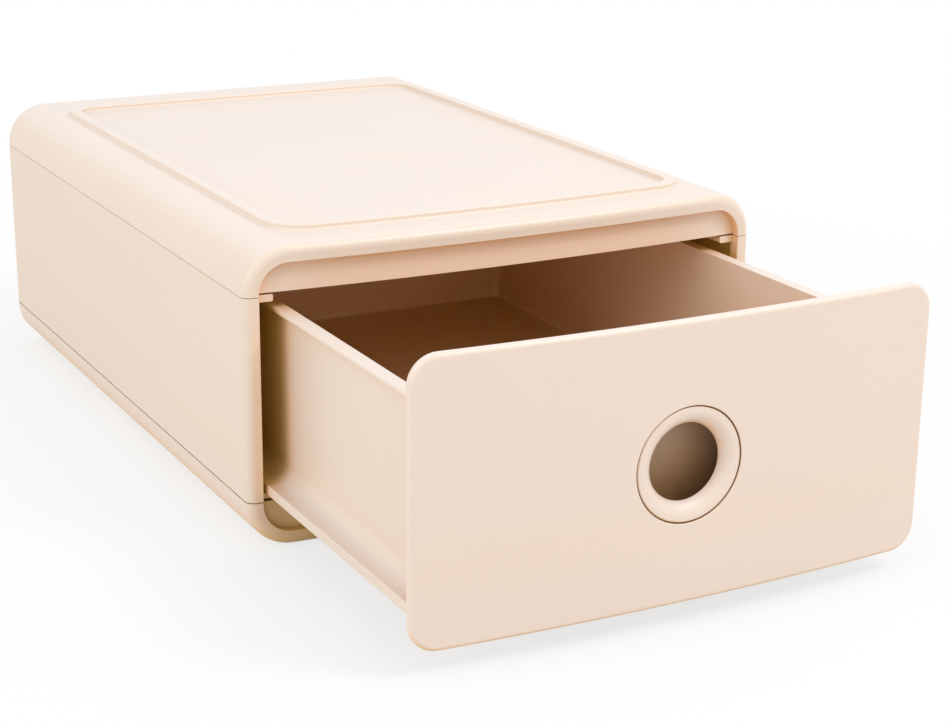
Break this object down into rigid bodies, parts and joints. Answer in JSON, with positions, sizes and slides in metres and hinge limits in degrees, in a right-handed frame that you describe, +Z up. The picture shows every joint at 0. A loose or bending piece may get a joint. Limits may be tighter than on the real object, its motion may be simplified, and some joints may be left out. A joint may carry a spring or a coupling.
{
  "type": "stackable drawer box",
  "caption": "Stackable moulded-plastic drawer box: casing with rounded edges and a raised stacking rim, sliding tray, bowed drawer front with a round finger hole.",
  "frame": {"origin": "on the table, under the middle of the box with its drawer half open, midway between the drawer front and the casing's back", "axes": "+Z up, the drawer slides out towards -Y, +X to the right seen from the front"},
  "size_m": [0.26, 0.508, 0.1412],
  "materials": {
    "top_shell": "satin moulded plastic, warm ivory",
    "base_shell": "satin moulded plastic, warm ivory",
    "left_side_panel": "satin moulded plastic, warm ivory",
    "right_side_panel": "satin moulded plastic, warm ivory",
    "back_panel": "satin moulded plastic, warm ivory",
    "foot_pad_front_left": "matte grey-white elastomer",
    "foot_pad_front_right": "matte grey-white elastomer",
    "foot_pad_back_left": "matte grey-white elastomer",
    "foot_pad_back_right": "matte grey-white elastomer",
    "drawer_tray": "satin moulded plastic, warm ivory",
    "drawer_front_panel": "satin moulded plastic, warm ivory",
    "finger_ring": "satin moulded plastic, warm ivory"
  },
  "bodies": {
    "casing": {"top_shell": "top_shell", "base_shell": "base_shell", "left_side_panel": "left_side_panel", "right_side_panel": "right_side_panel", "back_panel": "back_panel", "foot_pad_front_left": "foot_pad_front_left", "foot_pad_front_right": "foot_pad_front_right", "foot_pad_back_left": "foot_pad_back_left", "foot_pad_back_right": "foot_pad_back_right"},
    "drawer": {"drawer_tray": "drawer_tray", "drawer_front_panel": "drawer_front_panel", "finger_ring": "finger_ring"}
  },
  "joints": [
    {"name": "drawer_slide", "type": "slide", "parent": "casing", "child": "drawer", "axis": [0, -1, 0], "range_m": [-0.142, 0.1375]}
  ]
}
